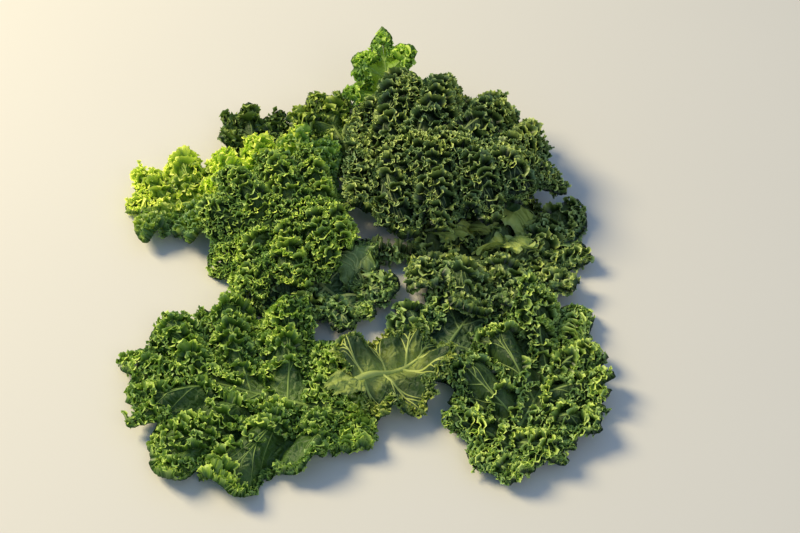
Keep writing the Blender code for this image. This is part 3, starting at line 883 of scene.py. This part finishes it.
# The rib and the veins: radii in metres, and where each fork leaves its vein and how far
# it swings.
veins = {
    "rib": 0.0021,
    "ribTip": 0.0004,
    "side": 0.00095,
    "fork": 0.00055,
    "sides": 10,
    "sideEnd": 0.86,
    "forkEnd": 0.9,
    "tipRoot": 0.93,
    "forks": ((0.22, -2.2), (0.34, 2.0), (0.52, -1.5), (0.62, 1.3)),
}


def tube(path, radius, sides, normal):
    # a tube round a path, flatter towards the blade
    tangent = unit(np.gradient(path, axis=0))
    aside = unit(np.cross(tangent, normal))
    up = np.cross(aside, tangent)
    angle = np.linspace(0, 2 * math.pi, sides + 1)
    ring = (aside[:, None] * np.cos(angle)[None, :, None]
            + up[:, None] * np.sin(angle)[None, :, None] * 0.8)
    return path[:, None] + ring * radius[:, None, None]


def veinTube(sheet, u, v, thick):
    path, normal = onBlade(sheet, u, v)
    radius = thick * (1.0 - 0.75 * np.linspace(0, 1, len(u)))
    return tube(path + normal * (radius * 0.15)[:, None], radius, 5, normal)


def ribTube(leaf, sheet):
    # the stem and the rib
    u = np.linspace(leaf["ribFrom"] or 0.0, 1.0, 60)
    rib, ribNormal = onBlade(sheet, u, 0 * u)
    stem = sheet["stem"][:-1] if leaf["ribFrom"] is None else sheet["stem"][:0]
    path = np.concatenate([stem, rib])
    normal = np.concatenate([np.repeat(ribNormal[:1], len(stem), 0), ribNormal])
    thin = np.concatenate([np.linspace(1.15, 1.0, len(stem)), (1 - u) ** 0.8])
    thin = veins["rib"] * thin * (leaf["length"] / 0.15) ** 0.5 * leaf["ribThick"]
    radius = veins["ribTip"] + thin
    path[:, 2] = np.maximum(path[:, 2], radius + growth["tableGap"])
    return tube(path, radius, veins["sides"], normal)


def sideVeins(leaf, sheet, thick):
    # a vein into each lobe, with its forks
    rng = np.random.default_rng(leaf["seed"] + 900)
    lobes, tubes = leaf["lobes"], []
    reach = 0.1 / (lobes + 0.5)
    share = np.linspace(0, veins["sideEnd"], 20)
    t = np.linspace(0, 1, 11)
    for side in (-1, 1):
        for lobe in range(lobes + 1):
            root = float(np.interp(lobe + 0.5, lobePhase(leaf, sheet["u"], side), sheet["u"]))
            if lobe == lobes:
                root = veins["tipRoot"]
            bow = reach * 0.8 * (share - share ** 2) * rng.uniform(-1, 1)
            line = root + bow - 0.03 * (1 - share)
            tubes.append(veinTube(sheet, line, side * share, veins["side"] * thick))
            for leave, swing in veins["forks"]:
                start = np.interp(leave, share, line)
                forkU = start + reach * swing * t ** 0.8 * rng.uniform(0.8, 1.1)
                forkA = leave + (veins["forkEnd"] - leave) * t * rng.uniform(0.75, 1.0)
                tubes.append(veinTube(sheet, np.clip(forkU, 0, 1), side * forkA,
                                      veins["fork"] * thick))
    return tubes


def flapVeins(leaf, sheet, thick):
    # the veins of the smooth lobes: one along the middle, the others fanning out from it
    tubes = []
    share = np.linspace(-0.9, 0.9, 24)
    for flap in leaf["flaps"]:
        free = math.radians(flap["free"])
        for turn, radius in smoothLobe["veins"]:
            far = np.maximum(share + 0.3, 0.0) if turn else share
            way = share if not turn else -0.3 + far * math.cos(turn)
            aside = far * math.sin(turn) if turn else 0 * share
            x = way * math.cos(free) - aside * math.sin(free)
            y = way * math.sin(free) + aside * math.cos(free)
            keep = np.concatenate([[True], np.abs(np.diff(x)) + np.abs(np.diff(y)) > 1e-6])
            places, normal, u, v = flapPoints(sheet, flap, 0.9 * x[keep], 0.9 * y[keep])
            radius = radius * thick * np.linspace(1.0, 0.35, keep.sum())
            tubes.append(tube(places + normal * (radius * 0.4)[:, None], radius, 6, normal))
    return tubes


def veinParts(leaf, sheet):
    thick = leaf["veinThick"]
    tubes = [ribTube(leaf, sheet), *sideVeins(leaf, sheet, thick),
             *flapVeins(leaf, sheet, thick)]
    total = sum(len(ring) for ring in tubes) + len(tubes)
    parts, done = [], 0
    for ring in tubes:
        rows, columns = ring.shape[:2]
        along, around = np.meshgrid(np.arange(rows), np.arange(columns), indexing="ij")
        strips = np.stack([(done + along) / total, 0.02 + 0.2 * around / columns], -1)
        parts.append(netPart(ring, strips=strips))
        done += rows
    whole = joinParts(parts)
    whole["points"][:, 2] = np.maximum(whole["points"][:, 2], growth["tableGap"])
    return whole


# The surfaces. Each triple multiplies the red, green and blue of one of the leaf's colours.
tints = {
    "bladeDark": (0.75, 0.8, 0.85),
    "bladeLight": (1.3, 1.22, 1.1),
    "bladeNet": (2.1, 1.8, 2.0),
    "bladeThrough": (2.2, 2.2, 1.2),
    "flapDark": (0.8, 0.85, 0.8),
    "flapLight": (1.25, 1.2, 1.2),
    "flapNet": (1.2, 1.2, 1.2),
    # the frill ramp from root to rim: painted shade at the root, and a pale rim that is partly
    # its own paler margin and partly painted highlight; frillLit is a painted lit copy
    "frillRootShade": (0.16, 0.24, 0.3),
    "frillLow": (0.7, 0.78, 0.78),
    "frillMiddle": (0.72, 0.8, 0.65),
    "frillHigh": (0.85, 0.88, 0.8),
    "frillRimAndHighlight": (1.25, 1.22, 1.25),
    "frillLit": (1.4, 1.28, 1.05),
    "frillThrough": (3.0, 2.8, 1.2),
    "veinDark": (0.8, 0.85, 0.8),
    "veinLight": (1.2, 1.15, 1.2),
}
surfaces = {
    "bladeRoughness": 0.5,
    "frillRoughness": 0.4,
    "veinRoughness": 0.6,
    "specular": 0.5,
    "veinGlow": 0.12,  # share of the light that comes through a vein
    "blotches": 45.0,  # these five are noise scales, per metre
    "cells": 190.0,
    "ragged": 70.0,
    "grain": 900.0,
    "veinBlotches": 120.0,
    "bump": (0.0008, 0.8),  # depth and strength
}


def newMaterial(name):
    material = bpy.data.materials.new(name)
    material.use_nodes = True
    tree = material.node_tree
    for node in list(tree.nodes):
        tree.nodes.remove(node)
    return material, tree


def add(tree, kind, inputs=(), **settings):
    # a node; each input gets another node's output, a colour or a number
    node = tree.nodes.new(kind)
    for key, value in settings.items():
        setattr(node, key, value)
    for key, value in dict(inputs).items():
        socket = node.inputs[key]
        if isinstance(value, bpy.types.NodeSocket):
            tree.links.new(value, socket)
        else:
            socket.default_value = (*value, 1.0) if isinstance(value, tuple) else value
    return node


def fact(tree, name, output="Fac"):
    return add(tree, "ShaderNodeAttribute", attribute_name=name).outputs[output]


def calc(tree, operation, *values):
    return add(tree, "ShaderNodeMath", enumerate(values), operation=operation).outputs[0]


def mixColours(tree, fac, first, second, blend="MIX"):
    return add(tree, "ShaderNodeMix", {0: fac, 6: first, 7: second}, data_type="RGBA",
               blend_type=blend).outputs[2]


def noise(tree, scale, detail, vector):
    inputs = {"Scale": scale, "Detail": detail, "Vector": vector}
    return add(tree, "ShaderNodeTexNoise", inputs).outputs["Fac"]


def spread(tree, value, low, high, toLow=0.0, toHigh=1.0):
    inputs = {"Value": value, "From Min": low, "From Max": high, "To Min": toLow,
              "To Max": toHigh}
    return add(tree, "ShaderNodeMapRange", inputs,
               interpolation_type="SMOOTHSTEP").outputs["Result"]


def waxy(tree, colour, roughness, specular):
    return add(tree, "ShaderNodeBsdfPrincipled", {
        "Base Color": colour, "Roughness": roughness, "Specular IOR Level": specular})


def finishSurface(tree, shader):
    add(tree, "ShaderNodeOutputMaterial", {"Surface": shader.outputs[0]})


def leafShader(tree, leaf, colour, through, roughness, bump=None):
    # waxy surface, with some of the light coming through the thin blade
    surface = waxy(tree, colour, roughness, surfaces["specular"])
    if bump is not None:
        tree.links.new(bump, surface.inputs["Normal"])
    glow = add(tree, "ShaderNodeBsdfTranslucent", {"Color": through})
    share = surfaces["veinGlow"] if through is colour else leaf["glow"]
    finishSurface(tree, add(tree, "ShaderNodeMixShader", {
        0: share, 1: surface.outputs[0], 2: glow.outputs[0]}))


def scaled(colour, by):
    return tuple(part * k for part, k in zip(colour, by))


def bladeMaterial(leaf):
    material, tree = newMaterial(leaf["name"] + "_blade")
    place, out = fact(tree, "place", "Vector"), fact(tree, "out")
    blade, rim, flap = leaf["blade"], leaf["rim"], leaf["flap"] or leaf["blade"]
    tone = spread(tree, noise(tree, surfaces["blotches"], 3.0, place), 0.3, 0.7)
    colour = mixColours(tree, tone, scaled(blade, tints["bladeDark"]),
                        scaled(blade, tints["bladeLight"]))
    # the fine net of veins between the large ones
    cells = add(tree, "ShaderNodeTexVoronoi", {"Scale": surfaces["cells"], "Vector": place},
                feature="DISTANCE_TO_EDGE").outputs["Distance"]
    net = calc(tree, "MULTIPLY", spread(tree, cells, 0.0, 0.09, 1.0, 0.0), leaf["netVeins"])
    colour = mixColours(tree, net, colour, scaled(blade, tints["bladeNet"]))
    colour = mixColours(tree, spread(tree, out, 0.72, 1.0), colour, leaf["mid"])
    # paler beside the rib, with a ragged edge
    ragged = calc(tree, "MULTIPLY_ADD", noise(tree, surfaces["ragged"], 4.0, place), 0.5, out)
    byRib = spread(tree, ragged, 0.25, 0.25 + leaf["paleReach"], leaf["palestRib"], 0.0)
    colour = mixColours(tree, byRib, colour, rim)
    # the smooth lobes have their own colour and a pale edge
    pale = mixColours(tree, tone, scaled(flap, tints["flapDark"]),
                      scaled(flap, tints["flapLight"]))
    pale = mixColours(tree, net, pale, scaled(rim, tints["flapNet"]))
    pale = mixColours(tree, spread(tree, out, 0.66, 0.75), pale, rim)
    smooth = spread(tree, fact(tree, "smooth"), 0.0, 1.0, 0.0, 0.85)
    colour = mixColours(tree, smooth, colour, pale)
    through = mixColours(tree, 0.5, colour, scaled(leaf["mid"], tints["bladeThrough"]))
    height = calc(tree, "ADD", spread(tree, cells, 0.0, 0.4, 0.0, 2.2),
                  noise(tree, surfaces["grain"], 2.0, place))
    depth, strength = surfaces["bump"]
    bump = add(tree, "ShaderNodeBump",
               {"Height": height, "Distance": depth, "Strength": strength})
    leafShader(tree, leaf, colour, through, surfaces["bladeRoughness"], bump.outputs[0])
    return material


def frillMaterial(leaf):
    # painted shade at the root of a frill, down among the others, and a pale rim that is partly
    # the frill's own paler margin and partly painted highlight
    material, tree = newMaterial(leaf["name"] + "_frills")
    mid, rim, zone = leaf["mid"], leaf["rim"], leaf["zone"]
    half = tuple((a + b) / 2 for a, b in zip(mid, rim))
    stops = ((0.0, scaled(mid, tints["frillRootShade"])),
             (zone / 2, scaled(mid, tints["frillLow"])),
             (zone, scaled(half, tints["frillMiddle"])),
             (0.6 * zone + 0.5, scaled(rim, tints["frillHigh"])),
             (1.0, scaled(rim, tints["frillRimAndHighlight"])))
    ramp = add(tree, "ShaderNodeValToRGB", {0: fact(tree, "rim")})
    band = ramp.color_ramp
    while len(band.elements) < len(stops):
        band.elements.new(0.5)
    for element, (place, colour) in zip(band.elements, stops):
        element.position = place
        element.color = (*colour, 1.0)
    bare = ramp.outputs["Color"]
    # painted light and shade: a lit copy and a shaded copy of the frill colour, mixed by the
    # tone, which paints shade in the cuts between lobes and light on the side that faces the
    # lamp, and also changes at random
    lit = mixColours(tree, 1.0, bare, tints["frillLit"], "MULTIPLY")
    dim = mixColours(tree, 1.0, bare, leaf["dim"], "MULTIPLY")
    colour = mixColours(tree, spread(tree, fact(tree, "tone"), 0.1, 0.9), dim, lit)
    through = mixColours(tree, 0.5, colour, scaled(mid, tints["frillThrough"]))
    leafShader(tree, leaf, colour, through, surfaces["frillRoughness"])
    return material


def veinMaterial(leaf):
    material, tree = newMaterial(leaf["name"] + "_veins")
    place = add(tree, "ShaderNodeTexCoord").outputs["Object"]
    vein = leaf["vein"] or tuple(
        0.45 * a + 0.55 * b for a, b in zip(leaf["rim"], leaf["blade"]))
    colour = mixColours(tree, noise(tree, surfaces["veinBlotches"], 3.0, place),
                        scaled(vein, tints["veinDark"]), scaled(vein, tints["veinLight"]))
    leafShader(tree, leaf, colour, colour, surfaces["veinRoughness"])
    return material


heapShift = findShift(leaves[0])
print("the heap was moved by", heapShift)
total = 0
for leaf in leaves:
    name = leaf["name"]
    print("leaf:", name)
    sheet = leafSheet(leaf)
    sheet["seen"] = openPlaces(leaf, sheet)
    pieces = [makeMesh(name + "_blade", bladeMaterial(leaf), **bladeParts(leaf, sheet)),
              makeMesh(name + "_veins", veinMaterial(leaf), **veinParts(leaf, sheet)),
              makeMesh(name + "_frills", frillMaterial(leaf), **frillStrips(leaf, sheet))]
    for piece in pieces:
        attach(piece, "root")
        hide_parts(leaf["name"])
    counts = [2 * len(piece.data.polygons) for piece in pieces]
    total += sum(counts)
    print("  triangles:", counts)
print("triangles in all:", total)


# The table, the light and the camera.
studio = {
    "table": (0.8, 0.775, 0.7),
    "tableDark": (0.97, 0.97, 0.97),  # share of that colour in its darker places
    "tableRoughness": 0.75,
    "tableSpecular": 0.2,
    "tableBlotches": 3.0,
    "tableHalf": 6.0,
    "keyWatts": 84.0,
    "keyPlace": (-1.8, 0.8, 1.82),
    "keySize": 1.15,
    "keyColour": (1.0, 0.85, 0.54),
    "fillWatts": 3.6,
    "fillPlace": (0.9, -1.3, 1.3),
    "fillSize": 1.0,
    "fillColour": (1.0, 0.93, 0.84),
    "sky": (0.46, 0.68, 1.1),
    "skyStrength": 0.385,
}
photoCamera = {
    "target": (0.0185 + heapShift[0], 0.0196 + heapShift[1], 0.0237),
    "elevation": 48.0,
    "distance": 1.05,
    "lens": 63.0,
    "sensor": 36.0,
}


def aim(thing, target):
    way = Vector(target) - thing.location
    thing.rotation_euler = way.to_track_quat("-Z", "Y").to_euler()


def softLight(name, part):
    data = bpy.data.lights.new(name, "AREA")
    data.shape = "DISK"
    data.size = studio[part + "Size"]
    data.energy = studio[part + "Watts"]
    data.color = studio[part + "Colour"]
    light = addObject(name, data)
    light.location = studio[part + "Place"]
    aim(light, (0.0, 0.0, 0.0))


def tableTop():
    material, tree = newMaterial("table_top")
    place = add(tree, "ShaderNodeTexCoord").outputs["Object"]
    dark = scaled(studio["table"], studio["tableDark"])
    colour = mixColours(tree, noise(tree, studio["tableBlotches"], 2.0, place), dark,
                        studio["table"])
    shader = waxy(tree, colour, studio["tableRoughness"], studio["tableSpecular"])
    finishSurface(tree, shader)
    mesh = bpy.data.meshes.new("table_top")
    side = studio["tableHalf"]
    corners = [(-side, -side, 0), (side, -side, 0), (side, side, 0), (-side, side, 0)]
    mesh.from_pydata(corners, [], [(0, 1, 2, 3)])
    mesh.materials.append(material)
    addObject("table_top", mesh)


tableTop()
softLight("window_light", "key")
softLight("room_light", "fill")
world = bpy.data.worlds.new("room")
bpy.context.scene.world = world
world.use_nodes = True
world.node_tree.nodes["Background"].inputs[0].default_value = (*studio["sky"], 1.0)
world.node_tree.nodes["Background"].inputs[1].default_value = studio["skyStrength"]
print("table and light are set")

cameraData = bpy.data.cameras.new("photo_camera")
cameraData.lens = photoCamera["lens"]
cameraData.sensor_width = photoCamera["sensor"]
camera = addObject("photo_camera", cameraData)
tilt = math.radians(photoCamera["elevation"])
camera.location = Vector(photoCamera["target"]) + photoCamera["distance"] * Vector(
    (0.0, -math.cos(tilt), math.sin(tilt)))
aim(camera, photoCamera["target"])
bpy.context.scene.camera = camera
bpy.context.scene.view_settings.view_transform = "Standard"
print("camera is set")
